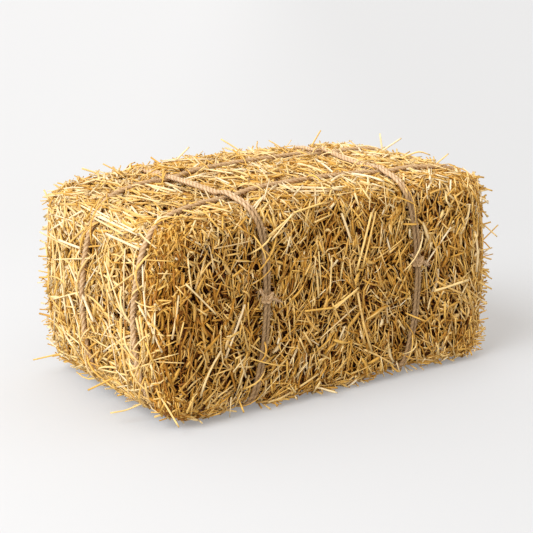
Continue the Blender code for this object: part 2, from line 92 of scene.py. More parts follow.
# Cords: the length of a turn of their twist, their strands, how many loose fibres they have and how long,
# how much painted shade darkens them on the top, on the front and in the knots, where on Y the front's
# painted shade starts and how far it takes to grow full
ROPE_PITCH = 0.036
ROPE_STRANDS = 3
ROPE_FUZZ = 1100
ROPE_FUZZ_LENGTH = 0.012
TWINE_PITCH = 0.024
TWINE_STRANDS = 2
TWINE_FUZZ = 420
TWINE_FUZZ_LENGTH = 0.010
TOP_ROPE_SHADE = 0.90
FRONT_TWINE_SHADE = 0.50
FRONT_SHADE_START = 0.205
FRONT_SHADE_REACH = 0.030
KNOT_SHADE = 0.78

# The first loop of a cord: how far it stands off the bale's box and how square it is
LOOP_MARGIN = 0.004
LOOP_POWER = 0.22

# Knots: rise and tilt of each turn, side and rise of each tail, the sides of their tubes, how far from
# them the strands draw together, how far above them the strands spread, and the length of the tails
KNOT_TURNS = ((0.9, 0.55), (-0.9, 0.25))
KNOT_TAILS = ((1, 0.85), (-1, -0.35))
KNOT_SIDES = 12
KNOT_REACH = 0.03
KNOT_SPREAD_RISE = 0.045
ROPE_TAIL = 0.030
TWINE_TAIL = 0.024

# Camera of the photograph
CAMERA_AZIMUTH = -34.7
CAMERA_ELEVATION = 15.2
CAMERA_DISTANCE = 2.894
CAMERA_TARGET = (-0.007, 0.0, 0.210)
FOCAL_PIXELS = 1400
PHOTO_PIXELS = 533

# Studio
FLOOR_SIZE = 60.0
FLOOR_COLOUR = (0.410, 0.414, 0.419)
# The floor's glow is painted light that lifts the shadows on it
FLOOR_GLOW = 0.53
# Painted light over the floor, how its brightness changes: direction, where the change starts and ends, and
# the factors
FLOOR_FADES = (
    ((0.822, -0.569, 0.0), -0.7, 0.7, 1.07, 0.965),
    ((0.569, 0.822, 0.0), -0.3, 1.4, 1.0, 0.935),
)
DOME_COLOUR = (1.0, 0.94, 0.88)
DOME_STRENGTH = 1.12
KEY_FROM = (-2.6, -0.35, 2.45)
KEY_STRENGTH = 2.95
KEY_COLOUR = (0.95, 1.0, 1.06)
KEY_ANGLE = 38.0

# Layers of cut stalks from the deepest out: how many on a square metre, the spans of their depth, length,
# half width, reach past the surface, flatness and painted shade, darker the deeper they lie, the rings and
# sides of their tubes, their bow, how far their ends are hollow, and whether they are left out where they
# would hide a cord
LAYERS = (
    {"density": 4600, "depths": (0.013, 0.026), "lengths": (0.04, 0.12), "widths": (0.0018, 0.0029),
     "proud": (-0.008, -0.006), "flat": (0.6, 1.0), "shade": (0.10, 0.38), "rings": 2, "sides": 4,
     "bow": 0.0, "hollow": 0.0, "clear": False},
    {"density": 4200, "depths": (0.003, 0.015), "lengths": (0.025, 0.11), "widths": (0.0014, 0.0027),
     "proud": (-0.003, 0.001), "flat": (0.45, 1.0), "shade": (0.50, 0.95), "rings": 3, "sides": 5,
     "bow": 0.0025, "hollow": 0.0015, "clear": False},
    {"density": 2350, "depths": (-0.001, 0.004), "lengths": (0.018, 0.13), "widths": (0.0013, 0.0027),
     "proud": (0.0, 0.006), "flat": (0.45, 1.0), "shade": (0.88, 1.05), "rings": 4, "sides": 5,
     "bow": 0.0030, "hollow": 0.0025, "clear": True},
)
# On faces whose stalks are shorter than this share, stalks have at most so many rings
SHORT_SIZE = 0.8
SHORT_RINGS = 3

# How many of the other stalks there are on a square metre, and how deep the core lies
FIBRE_DENSITY = 2700
SPRIG_DENSITY = 950
LONG_DENSITY = 260
CORE_DEPTH = 0.028

rng = np.random.default_rng(7)


# Form


def rope_y(rope, x):
    left, middle, right = ROPES[rope]["ys"]
    t = np.clip(0.5 * (x / END_RIM + 1), 0, 1)
    return left * (1 - t) * (1 - 2 * t) + 4 * middle * t * (1 - t) + right * t * (2 * t - 1)


def rope_line_y(rope, x, z):
    """Y of a rope anywhere on its loop: down the left end it shifts over and sways."""
    plan = ROPES[rope]
    near_end = np.clip((-x - END_RIM) / (HALF_LENGTH - END_RIM), 0, 1)
    beyond = np.clip((-x - END_RIM) / END_ROUNDING, 0, 1)
    return (
        rope_y(rope, x)
        + plan["shift"] * beyond**1.5 * np.clip(z / 0.06, 0, 1)
        + near_end * plan["sway"] * np.sin(math.pi * np.clip(z / BALE_HEIGHT, 0, 1)) ** 2
    )


def twine_x(twine, y, z):
    plan = TWINES[twine]
    bow = np.clip(1 - ((z - plan["middle"]) / plan["reach"]) ** 2, 0, 1)
    on_front = np.clip((-y / HALF_WIDTH - BOW_START) / (BOW_FULL - BOW_START), 0, 1)
    return plan["x"] + plan["skew"] * y + plan["pull"] * bow * on_front


def pinch(x, y, z):
    away = np.minimum(*[np.abs(x - twine_x(twine, y, z)) for twine in TWINES])
    return np.exp(-((np.maximum(0, away - PINCH_FLOOR) / PINCH_REACH) ** 2))


def valley(x, y, z):
    away = np.minimum(*[np.abs(y - rope_line_y(rope, x, z)) for rope in ROPES])
    return np.exp(-((away / VALLEY_REACH) ** 2))


def cord_gap(points):
    """Distance along the surface from points to the side of the nearest cord."""
    x, y, z = points[..., 0], points[..., 1], points[..., 2]
    rope = np.minimum(*[np.abs(y - rope_line_y(name, x, z)) for name in ROPES]) - ROPE_RADIUS
    twine = np.minimum(*[np.abs(x - twine_x(name, y, z)) for name in TWINES])
    twine = twine - TWINE_SPACING / 2 - TWINE_RADIUS
    return np.minimum(rope, twine)


def hides_cord(line):
    """Whether stalks given by their lines lie over a cord."""
    steps = np.linspace(0, 1, 5)
    points = line[:, :-1, None] + (line[:, 1:] - line[:, :-1])[:, :, None] * steps[None, None, :, None]
    over = (cord_gap(points) < 0.001) & (envelope(points) > -0.002)
    return over.any(axis=(1, 2))


def rounded_max(one, two, radius):
    """The larger of two distances, with the edge between them rounded."""
    a, b = one + radius, two + radius
    return np.hypot(np.maximum(a, 0), np.maximum(b, 0)) + np.minimum(np.maximum(a, b), 0) - radius


def envelope(points, corded=True):
    """About how far points lie outside the straw's surface, in metres; negative inside."""
    x, y, z = points[..., 0], points[..., 1], points[..., 2]
    squeeze = pinch(x, y, z) * corded
    press = valley(x, y, z) * corded
    drop = np.where(x < 0, LEFT_DROP, RIGHT_DROP) * np.clip(np.abs(x) / END_RIM, 0, 1) ** 3
    top = BALE_HEIGHT - TOP_CROWN * (y / HALF_WIDTH) ** 2 - drop - TOP_PINCH * squeeze - TOP_VALLEY * press
    lift = LEFT_LIFT * np.clip((-x - LIFT_START) / (END_RIM - LIFT_START), 0, 1) ** 2
    bottom = lift + BOTTOM_PINCH * squeeze + BOTTOM_VALLEY * press
    crown_y = np.clip((y / HALF_WIDTH) ** 2, 0, 1)
    crown_z = np.clip(((z - MID_HEIGHT) / MID_HEIGHT) ** 2, 0, 1)
    half_y = HALF_WIDTH - SIDE_CROWN * crown_z - SIDE_PINCH * squeeze
    lean = END_LEAN * np.clip((z - MID_HEIGHT) / MID_HEIGHT, 0, 1)
    lean = lean + BASE_TUCK * np.clip(1 - z / 0.12, 0, 1) ** 2 * (x < 0)
    half_x = HALF_LENGTH - END_BULGE * (1 - (1 - crown_y) * (1 - crown_z)) - lean - END_VALLEY * press
    across = rounded_max(np.abs(y) - half_y, z - top, TOP_CORNER)
    across = rounded_max(across, bottom - z, BOTTOM_CORNER)
    return rounded_max(across, np.abs(x) - half_x, END_ROUNDING)


def slope(points, step=0.0015):
    """Outward direction of the envelope at points."""
    parts = []
    for axis in range(3):
        shift = np.zeros(3)
        shift[axis] = step
        parts.append(envelope(points + shift) - envelope(points - shift))
    found = np.stack(parts, axis=-1)
    return found / np.maximum(np.linalg.norm(found, axis=-1, keepdims=True), 1e-9)


def waves(points, wavelength, seed):
    """A smooth random field over space, mostly between -1 and 1."""
    source = np.random.default_rng(seed)
    found = 0.0
    for _ in range(7):
        direction = unit(source.normal(0, 1, 3)) * 2 * math.pi / wavelength * source.uniform(0.6, 1.4)
        found = found + np.cos(points @ direction + source.uniform(0, 2 * math.pi))
    return found / 2.6


def unit(vectors):
    return vectors / np.maximum(np.linalg.norm(vectors, axis=-1, keepdims=True), 1e-9)


def settle(points, level, rounds=4):
    """Moves points onto the surface that lies level metres outside the envelope."""
    for _ in range(rounds):
        points = points - slope(points) * (envelope(points) - level)[..., None]
    return points


# Meshes from many tubes


class Heap:
    """Vertices, faces and colouring of many small closed tubes that become one mesh."""

    def __init__(self):
        self.points, self.corners, self.sizes, self.grain, self.tint = [], [], [], [], []
        self.count = 0

    def add(self, points, faces, grain, tint):
        """points (n, v, 3) with the same faces for each of the n; grain and tint are per vertex."""
        n, v = points.shape[:2]
        offsets = self.count + np.arange(n) * v
        for group in faces:
            self.corners.append((offsets[:, None, None] + group[None]).reshape(-1))
            self.sizes.append(np.full(n * len(group), group.shape[1]))
        self.points.append(points.reshape(-1, 3))
        self.grain.append(grain.reshape(-1, 3))
        self.tint.append(tint.reshape(-1, 4))
        self.count += n * v

    def build(self, name, material):
        mesh = bpy.data.meshes.new(name)
        corners = np.concatenate(self.corners)
        sizes = np.concatenate(self.sizes)
        mesh.vertices.add(self.count)
        mesh.vertices.foreach_set("co", np.concatenate(self.points).astype(np.float32).ravel())
        mesh.loops.add(len(corners))
        mesh.loops.foreach_set("vertex_index", corners.astype(np.int32))
        mesh.polygons.add(len(sizes))
        starts = np.concatenate([[0], np.cumsum(sizes)[:-1]])
        mesh.polygons.foreach_set("loop_start", starts.astype(np.int32))
        mesh.polygons.foreach_set("use_smooth", sizes == 4)
        grain = mesh.attributes.new("grain", "FLOAT_VECTOR", "POINT")
        grain.data.foreach_set("vector", np.concatenate(self.grain).astype(np.float32).ravel())
        tint = mesh.attributes.new("tint", "FLOAT_COLOR", "POINT")
        tint.data.foreach_set("color", np.concatenate(self.tint).astype(np.float32).ravel())
        mesh.update(calc_edges=True)
        mesh.materials.append(material)
        obj = bpy.data.objects.new(name, mesh)
        bpy.context.scene.collection.objects.link(obj)
        return obj


def tube_faces(rings, sides, closed=False):
    """Side quads of a tube and, unless it is a loop, fans to its last two vertices, which close its ends."""
    quads, fans = [], []
    for i in range(rings if closed else rings - 1):
        after = (i + 1) % rings
        for j in range(sides):
            k = (j + 1) % sides
            quads.append((i * sides + j, i * sides + k, after * sides + k, after * sides + j))
    if closed:
        return (np.array(quads),)
    last = (rings - 1) * sides
    for j in range(sides):
        k = (j + 1) % sides
        fans.append((rings * sides, k, j))
        fans.append((rings * sides + 1, last + j, last + k))
    return np.array(quads), np.array(fans)


def across_axes(along, roll):
    """Two axes across each direction, turned by roll."""
    helper = np.where(np.abs(along[:, 2:3]) < 0.9, [[0.0, 0.0, 1.0]], [[1.0, 0.0, 0.0]])
    one = unit(np.cross(along, helper))
    two = np.cross(along, one)
    c, s = np.cos(roll)[:, None], np.sin(roll)[:, None]
    return one * c + two * s, two * c - one * s


def add_straws(heap, line, half_width, flatness, tone, shade, sides, roll=None, hollow=0.0, twist=0.0):
    """Adds a closed tube for each line of ring centres, with its own thickness, flatness, tone and painted
    shade.
    """
    n, rings = line.shape[:2]
    along = unit(line[:, -1] - line[:, 0])
    roll = rng.uniform(0, math.pi, n) if roll is None else roll
    side, lift = across_axes(along, roll)
    turn = 2 * math.pi * np.arange(sides) / sides
    spin = np.linspace(0, 1, rings)[None, :, None] * np.broadcast_to(twist, (n,))[:, None, None]
    angle = np.broadcast_to(turn[None, None, :], (n, rings, sides))
    wide = half_width if half_width.ndim == 2 else np.repeat(half_width[:, None], rings, axis=1)
    u = wide[..., None] * np.cos(angle)
    v = wide[..., None] * np.sin(angle) * flatness[:, None, None]
    u, v = u * np.cos(spin) - v * np.sin(spin), u * np.sin(spin) + v * np.cos(spin)
    rim = line[:, :, None] + u[..., None] * side[:, None, None] + v[..., None] * lift[:, None, None]
    reach = np.broadcast_to(hollow, (n,))[:, None]
    ends = np.stack([line[:, 0] + along * reach, line[:, -1] - along * reach], axis=1)
    points = np.concatenate([rim.reshape(n, rings * sides, 3), ends], axis=1)

    length = np.linalg.norm(line[:, -1] - line[:, 0], axis=1)
    run = np.linspace(0, 1, rings)[None, :] * length[:, None] * 0.07
    start = rng.uniform(0, 20, (n, 3))
    grain = np.stack([u, v, np.broadcast_to(run[..., None], u.shape)], axis=-1).reshape(n, rings * sides, 3)
    tips = np.zeros((n, 2, 3))
    tips[:, 1, 2] = run[:, -1]
    grain = np.concatenate([grain, tips], axis=1) + start[:, None]
    tint = np.ones((n, rings * sides + 2, 4))
    tint[..., 0] = tone[:, None]
    tint[..., 1] = shade[:, None]
    tint[..., 2] = 0.0
    # The recessed centres of hollow ends carry painted shade
    tint[:, -2:, 2] = (reach > 0) * 0.9
    heap.add(points, tube_faces(rings, sides), grain, tint)


# Where stalks lie

# Stalks that catch the eye: face, two ends on it in metres (y and z on the left end, x and y on the top, x
# and z on the front), thickness and tone
FEATURES = (
    ("left", (0.015, 0.395), (-0.160, 0.385), 0.0055, 0.95),
    ("left", (0.005, 0.385), (-0.120, 0.370), 0.0040, 0.85),
    ("left", (0.080, 0.410), (-0.090, 0.390), 0.0045, 0.95),
    ("left", (0.040, 0.415), (-0.170, 0.390), 0.0045, 1.00),
    ("left", (-0.190, 0.320), (-0.210, 0.225), 0.0050, 1.00),
    ("left", (-0.060, 0.355), (-0.180, 0.350), 0.0050, 0.95),
    ("left", (-0.045, 0.305), (-0.075, 0.250), 0.0040, 0.80),
    ("left", (-0.070, 0.300), (-0.140, 0.210), 0.0045, 0.90),
    ("left", (0.130, 0.300), (0.025, 0.305), 0.0050, 1.00),
    ("left", (0.150, 0.255), (-0.020, 0.295), 0.0045, 0.85),
    ("left", (0.005, 0.215), (-0.035, 0.175), 0.0065, 1.00),
    ("left", (-0.090, 0.245), (-0.185, 0.310), 0.0045, 0.70),
    ("left", (0.160, 0.170), (0.020, 0.220), 0.0040, 0.85),
    ("left", (0.150, 0.120), (0.030, 0.110), 0.0045, 0.80),
    ("top", (-0.080, -0.190), (0.020, -0.225), 0.0055, 0.95),
    ("top", (-0.090, -0.205), (-0.010, -0.225), 0.0040, 0.90),
    ("top", (0.110, -0.010), (0.065, -0.135), 0.0050, 1.00),
    ("top", (0.090, -0.155), (0.135, -0.215), 0.0045, 1.00),
    ("top", (-0.130, 0.040), (-0.110, -0.035), 0.0040, 0.90),
    ("top", (-0.280, 0.020), (-0.265, -0.075), 0.0045, 0.90),
    ("front", (-0.350, 0.285), (-0.290, 0.220), 0.0042, 0.85),
    ("front", (-0.110, 0.385), (-0.030, 0.400), 0.0050, 0.65),
    ("front", (-0.165, 0.345), (-0.105, 0.385), 0.0045, 0.75),
    ("front", (-0.160, 0.335), (-0.110, 0.385), 0.0040, 0.85),
    ("front", (0.040, 0.215), (-0.020, 0.180), 0.0055, 0.75),
    ("front", (-0.025, 0.285), (-0.030, 0.215), 0.0040, 0.75),
    ("front", (0.075, 0.360), (0.035, 0.250), 0.0045, 0.70),
    ("front", (0.085, 0.360), (0.050, 0.255), 0.0040, 0.60),
    ("front", (-0.090, 0.190), (-0.020, 0.185), 0.0055, 0.55),
    ("front", (-0.020, 0.185), (0.035, 0.210), 0.0050, 0.60),
    ("front", (0.240, 0.175), (0.330, 0.185), 0.0050, 0.80),
)

# For each face: its outward axis and sign, the direction most stalks follow and the other one, the spread of
# the pressed and of the loose ones in degrees, the share that lies at random, how much the lie wanders from
# place to place, the share of the full number of stalks, how long and thick they are, how many long ones lie
# loose on it, how far slanted ones poke out in metres, how pale the stalks are, and how bright painted shade
# leaves them
CUT_SIDE = {"axis": 1, "main": 2, "other": 0, "tight": 20, "loose": 42, "stray": 0.48, "wander": 30}
END_SIDE = {"axis": 0, "main": 2, "other": 1, "tight": 24, "loose": 45, "stray": 0.50, "wander": 45}
FACES = (
    {**CUT_SIDE, "name": "front", "sign": -1, "share": 1.35, "size": 0.60, "thick": 0.86, "long": 0.2,
     "poke": 0.009, "tone": -0.03, "shade": 0.93},
    {**CUT_SIDE, "name": "back", "sign": 1, "share": 1.0, "size": 0.66, "thick": 0.95, "long": 0.3,
     "poke": 0.014, "tone": 0.0, "shade": 0.94},
    {**END_SIDE, "name": "left", "sign": -1, "share": 1.1, "size": 1.22, "thick": 1.08, "long": 2.4,
     "poke": 0.020, "tone": 0.06, "shade": 1.0},
    {**END_SIDE, "name": "right", "sign": 1, "share": 1.0, "size": 1.05, "thick": 1.0, "long": 1.4,
     "poke": 0.020, "tone": 0.03, "shade": 0.95},
    {"name": "top", "axis": 2, "sign": 1, "main": 1, "other": 0, "share": 1.1, "tight": 15, "loose": 36,
     "stray": 0.28, "wander": 20, "size": 1.05, "thick": 1.0, "long": 1.2, "poke": 0.018, "tone": 0.06,
     "shade": 0.97},
    {"name": "under", "axis": 2, "sign": -1, "main": 1, "other": 0, "share": 0.30, "tight": 22, "loose": 40,
     "stray": 0.30, "wander": 20, "size": 1.0, "thick": 1.0, "long": 0.2, "poke": 0.002, "tone": 0.0,
     "shade": 0.9},
)
LOW = np.array([-HALF_LENGTH, -HALF_WIDTH, 0.0])
HIGH = np.array([HALF_LENGTH, HALF_WIDTH, BALE_HEIGHT])

# Sizes of the patches in which stalks lie alike and in which they rise and sink, how far these go, the
# furrows between flakes, and how high the lowest stalks stay off the floor
CLUMP_WANDER = 0.10
CLUMP_RELIEF = 0.045
RELIEF_DEPTH = 0.0045
JOINT_DEPTH = 0.004
JOINT_WIDTH = 0.007
FLOOR_CLEARANCE = 0.0008

# The browner, open straw of the front left corner: where it is, how much deeper and browner it is, and how
# much painted shade darkens it
CORNER_X = -0.385
CORNER_REACH = 0.055
CORNER_Y = -0.19
CORNER_RELIEF = 1.5
CORNER_TONE = 0.20
CORNER_SHADE = 0.44

# Edges that flat stalks reach past: the face that they lie on and the face that they pass, each as axis and
# sign, how many there are and how far they reach
RIMS = (
    ((2, 1), (0, -1), 34, 0.032),
    ((2, 1), (1, 1), 60, 0.026),
    ((2, 1), (0, 1), 26, 0.024),
    ((2, 1), (1, -1), 40, 0.012),
    ((0, -1), (2, 1), 14, 0.020),
    ((0, -1), (1, 1), 40, 0.034),
    ((0, -1), (1, -1), 24, 0.012),
    ((1, -1), (0, -1), 20, 0.010),
    ((1, -1), (0, 1), 34, 0.026),
    ((1, -1), (2, 1), 30, 0.010),
    ((0, 1), (1, -1), 30, 0.020),
    ((0, 1), (1, 1), 30, 0.022),
    ((0, 1), (2, 1), 18, 0.018),
    ((1, 1), (0, -1), 30, 0.026),
    ((1, 1), (0, 1), 30, 0.024),
    ((1, 1), (2, 1), 34, 0.018),
    ((2, -1), (0, -1), 34, 0.014),
    ((2, -1), (1, -1), 70, 0.018),
    ((2, -1), (0, 1), 44, 0.028),
    ((2, -1), (1, 1), 60, 0.022),
)

# Where stalks lie over a cord: two corners of a box round the stretch of cord, and how many
OVER_CORDS = {
    "long_rope_back": (
        ((-0.46, -0.1, 0.34), (-0.30, 0.2, 0.5), 11), ((-0.5, -0.1, 0.0), (-0.38, 0.2, 0.14), 22),
        ((-0.5, -0.1, 0.14), (-0.38, 0.2, 0.34), 7), ((-0.30, 0.0, 0.3), (0.42, 0.2, 0.5), 12),
        ((0.38, 0.0, 0.0), (0.5, 0.2, 0.5), 14),
    ),
    "long_rope_front": (
        ((-0.46, -0.3, 0.34), (-0.34, 0.0, 0.42), 6), ((-0.5, -0.3, 0.0), (-0.38, 0.0, 0.12), 22),
        ((-0.5, -0.3, 0.12), (-0.38, 0.0, 0.34), 8), ((-0.30, -0.3, 0.3), (0.42, 0.0, 0.5), 9),
        ((0.38, -0.3, 0.0), (0.5, 0.0, 0.5), 14),
    ),
    "cross_twine_left": (
        ((-0.4, -0.3, 0.0), (0.0, -0.2, 0.12), 7), ((-0.4, -0.3, 0.27), (0.0, -0.2, 0.36), 5),
        ((-0.4, 0.05, 0.3), (0.0, 0.23, 0.5), 20), ((-0.4, 0.2, 0.0), (0.0, 0.3, 0.5), 8),
    ),
    "cross_twine_right": (
        ((0.0, -0.3, 0.0), (0.4, -0.2, 0.12), 7), ((0.0, -0.3, 0.27), (0.4, -0.2, 0.40), 6),
        ((0.0, -0.2, 0.3), (0.4, 0.2, 0.5), 9), ((0.0, 0.2, 0.0), (0.4, 0.3, 0.5), 8),
    ),
}


def scatter(face, density):
    """Random points over one face of the bale's box."""
    spans = HIGH - LOW
    area = spans[face["main"]] * spans[face["other"]]
    count = int(area * density * face["share"])
    points = rng.uniform(LOW, HIGH, (count, 3))
    points[:, face["axis"]] = HIGH[face["axis"]] if face["sign"] > 0 else LOW[face["axis"]]
    return points


def lie_angles(face, points):
    """Angles of stalks from the face's main direction: mostly pressed one way, the rest at random."""
    n = len(points)
    pick = rng.uniform(0, 1, n)
    angles = np.where(pick < 0.5, rng.normal(0, face["tight"], n), rng.normal(0, face["loose"], n))
    angles = angles + face["wander"] * waves(points, CLUMP_WANDER, 3)
    angles = np.where(pick > 1 - face["stray"], rng.uniform(-90, 90, n), angles)
    if face["name"] in ("front", "back"):
        near_end = np.clip((np.abs(points[:, 0]) - 0.28) / 0.12, 0, 1)
        angles = angles * (1 - 0.6 * near_end * (pick < 0.85))
    if face["name"] == "left":
        high = np.clip((points[:, 2] - 0.25) / 0.12, 0, 1) * (pick < 0.6)
        low = np.clip((0.13 - points[:, 2]) / 0.08, 0, 1) * (pick < 0.45)
        angles = angles + (high + low) * 75
    return np.radians(angles)


def headings(face, points, normals):
    """A direction for each stalk, along the surface at its place."""
    angles = lie_angles(face, points)
    found = np.zeros((len(points), 3))
    found[:, face["main"]] = np.cos(angles)
    found[:, face["other"]] = np.sin(angles)
    found -= normals * np.sum(found * normals, axis=1, keepdims=True)
    return unit(found)


def best_headings(face, points, normals, length):
    """The heading of a few tries whose ends stand out least, so that stalks follow the rounded edges."""
    tries = [headings(face, points, normals) for _ in range(3)]
    cost = []
    for found in tries:
        half = found * length[:, None] / 2
        out = np.maximum(envelope(points + half, False), envelope(points - half, False))
        cost.append(np.maximum(out, 0) + rng.uniform(0, 0.004, len(points)))
    best = np.argmin(np.stack(cost), axis=0)
    return np.stack(tries)[best, np.arange(len(points))], np.stack(cost)[best, np.arange(len(points))]


def straw_lines(points, normals, along, length, rings, bow, proud):
    """Ring centres of nearly straight stalks, set back whole where they would stand out by more than
    proud, and bent only where a cord presses them."""
    s = np.linspace(-0.5, 0.5, rings)[None, :, None]
    side = np.cross(along, normals)
    lean = rng.normal(0, 1, (len(points), 1, 1)) * side[:, None]
    lean = lean + rng.normal(0, 0.5, (len(points), 1, 1)) * normals[:, None]
    line = points[:, None] + along[:, None] * length[:, None, None] * s + lean * bow * (4 * s**2 - 1)
    for _ in range(2):
        out = np.maximum(envelope(line, False) - proud[:, None], 0).max(axis=1)
        line = line - normals[:, None] * out[:, None, None]
    under_cord = np.clip(1 - cord_gap(line) / 0.004, 0, 1)
    out = np.maximum(envelope(line) - proud[:, None] * (1 - under_cord) + 0.005 * under_cord, 0)
    return line - slope(line) * out[..., None]


def keep_above_floor(line, half_width):
    line[..., 2] = np.maximum(line[..., 2], half_width[:, None] + FLOOR_CLEARANCE)
    return line


def joint_dip(points):
    """1 at the joint between two flakes and 0 away from it."""
    away = np.abs((points[:, 0] + HALF_LENGTH) % FLAKE_PITCH - FLAKE_PITCH / 2)
    return np.exp(-(((FLAKE_PITCH / 2 - away) / JOINT_WIDTH) ** 2))


def straw_tones(face, points, low=0.08, high=0.92):
    """Tones from brown to pale, most of them in the middle, with paler and browner patches."""
    n = len(points)
    tone = rng.beta(2.6, 2.0, n) * (high - low) + low
    patches = 0.05 * waves(points, 0.12, 8)
    return np.clip(tone + face["tone"] + patches - CORNER_TONE * corner_share(points), 0, 1)


def corner_share(points):
    """1 at the front left corner, where the straw is browner and open, and 0 away from it."""
    x, y, z = points[:, 0], points[:, 1], points[:, 2]
    along = np.exp(-(((x - CORNER_X) / CORNER_REACH) ** 2)) * (y < CORNER_Y)
    return along * np.clip((BALE_HEIGHT - z) / 0.05, 0, 1)


def lying_roll(along, normals, spread):
    """The roll that lays a flat stalk's broad side on the surface, give or take spread degrees."""
    side, lift = across_axes(along, np.zeros(len(along)))
    wanted = np.cross(along, normals)
    roll = np.arctan2(np.sum(lift * wanted, axis=1), np.sum(side * wanted, axis=1))
    return roll + np.radians(rng.normal(0, spread, len(along)))


def put(heaps, places, line, wide, flatness, tone, shade, sides, roll=None, hollow=0.0, twist=None,
        clear=True):
    """Hands each flake the stalks whose place lies in it, leaving out those that would hide a cord."""
    index = np.clip(((places[:, 0] + HALF_LENGTH) / FLAKE_PITCH).astype(int), 0, FLAKE_COUNT - 1)
    roll = rng.uniform(0, math.pi, len(places)) if roll is None else roll
    twist = np.zeros(len(places)) if twist is None else twist
    shown = ~hides_cord(line) | (not clear)
    for i, heap in enumerate(heaps):
        chosen = np.nonzero((index == i) & shown)[0]
        if len(chosen):
            add_straws(heap, line[chosen], wide[chosen], flatness[chosen], tone[chosen], shade[chosen], sides,
                       roll=roll[chosen], hollow=hollow, twist=twist[chosen])


def lay(heaps, face, layer):
    """One layer of stalks on one face."""
    points = scatter(face, layer["density"])
    n = len(points)
    rings = min(layer["rings"], SHORT_RINGS) if face["size"] < SHORT_SIZE else layer["rings"]
    relief = RELIEF_DEPTH * (1 + CORNER_RELIEF * corner_share(points)) * waves(points, CLUMP_RELIEF, 5)
    furrow = JOINT_DEPTH * joint_dip(points) * (face["axis"] != 0)
    depth = rng.uniform(*layer["depths"], n) + furrow + relief
    points = settle(points, -np.maximum(depth, layer["depths"][0]))
    normals = slope(points)
    shortest, longest = layer["lengths"]
    length = (shortest + (longest - shortest) * rng.beta(1.3, 2.2, n)) * face["size"]
    along, cost = best_headings(face, points, normals, length)
    length = length * np.clip(0.022 / (cost + 0.012), 0.45, 1.0)
    along = unit(along + normals * np.radians(rng.normal(0, 6, n))[:, None])
    half_width = rng.uniform(*layer["widths"], n) * face["thick"]
    line = straw_lines(points, normals, along, length, rings, layer["bow"], rng.uniform(*layer["proud"], n))
    line = keep_above_floor(line, half_width)
    taper = 1 - 0.25 * rng.uniform(0, 1, (n, 1)) * np.linspace(0, 1, rings)[None]
    # Painted shade: stalks darker by layer, by face and, at random, in the front left corner
    shades = rng.uniform(*layer["shade"], n) * face["shade"]
    shades = shades * (1 - CORNER_SHADE * rng.uniform(0, 1, n) * corner_share(points))
    flatness = rng.uniform(*layer["flat"], n)
    put(heaps, points, line, half_width[:, None] * taper, flatness, straw_tones(face, points), shades,
        layer["sides"], roll=lying_roll(along, normals, 40), hollow=layer["hollow"], clear=layer["clear"])


def lay_fibres(heaps, face):
    """Thin split fibres and flat leaves on the surface."""
    points = scatter(face, FIBRE_DENSITY)
    n = len(points)
    points = settle(points, rng.uniform(-0.006, 0.0005, n))
    normals = slope(points)
    length = rng.uniform(0.012, 0.06, n)
    along, _ = best_headings(face, points, normals, length)
    leaf = rng.uniform(0, 1, n) < 0.20
    half_width = np.where(leaf, rng.uniform(0.0022, 0.0045, n), rng.uniform(0.0006, 0.0013, n))
    line = straw_lines(points, normals, along, length, 4, 0.003, rng.uniform(0, 0.004, n))
    line = keep_above_floor(line, half_width)
    tips = np.array([0.7, 1.0, 0.95, 0.5])
    wide = half_width[:, None] * np.where(leaf[:, None], tips[None], 1.0)
    put(heaps, points, line, wide, np.where(leaf, 0.14, 0.6), straw_tones(face, points, 0.2, 1.0),
        rng.uniform(0.8, 1.05, n) * face["shade"], 4, roll=lying_roll(along, normals, 25),
        twist=np.where(leaf, rng.normal(0, 0.5, n), 0.0))


def lay_long(heaps, face):
    """Long pale stalks that lie loosely on the rest."""
    points = scatter(face, LONG_DENSITY * face["long"])
    n = len(points)
    points = settle(points, rng.uniform(-0.002, 0.003, n))
    normals = slope(points)
    length = rng.uniform(0.06, 0.15, n)
    along, _ = best_headings(face, points, normals, length)
    half_width = rng.uniform(0.0015, 0.0026, n)
    line = straw_lines(points, normals, along, length, 5, 0.003, rng.uniform(0.002, 0.008, n))
    line = keep_above_floor(line, half_width)
    put(heaps, points, line, half_width, rng.uniform(0.5, 1.0, n), rng.uniform(0.62, 1.0, n),
        rng.uniform(0.85, 1.0, n) * (0.4 + 0.6 * face["shade"]), 6, hollow=0.0025)


def lay_sprigs(heaps, face):
    """Stalks that leave the surface at a slant, with their tips a little outside it."""
    points = scatter(face, SPRIG_DENSITY)
    n = len(points)
    points = settle(points, 0.002 + face["poke"] * rng.beta(1.1, 2.8, n))
    normals = slope(points)
    along = headings(face, points, normals)
    rise = np.radians(rng.uniform(8, 48, n))
    ways = np.where(rng.uniform(0, 1, (n, 1)) < 0.5, -1, 1)
    along = unit(along * np.cos(rise)[:, None] * ways + normals * np.sin(rise)[:, None])
    length = rng.uniform(0.025, 0.065, n)
    half_width = rng.uniform(0.0010, 0.0022, n)
    line = points[:, None] + along[:, None] * length[:, None, None] * np.linspace(-1, 0, 3)[None, :, None]
    line = keep_above_floor(line, half_width)
    put(heaps, points, line, half_width, rng.uniform(0.5, 1.0, n), straw_tones(face, points, 0.25, 1.0),
        rng.uniform(0.9, 1.05, n) * (0.5 + 0.5 * face["shade"]), 5, hollow=0.002)


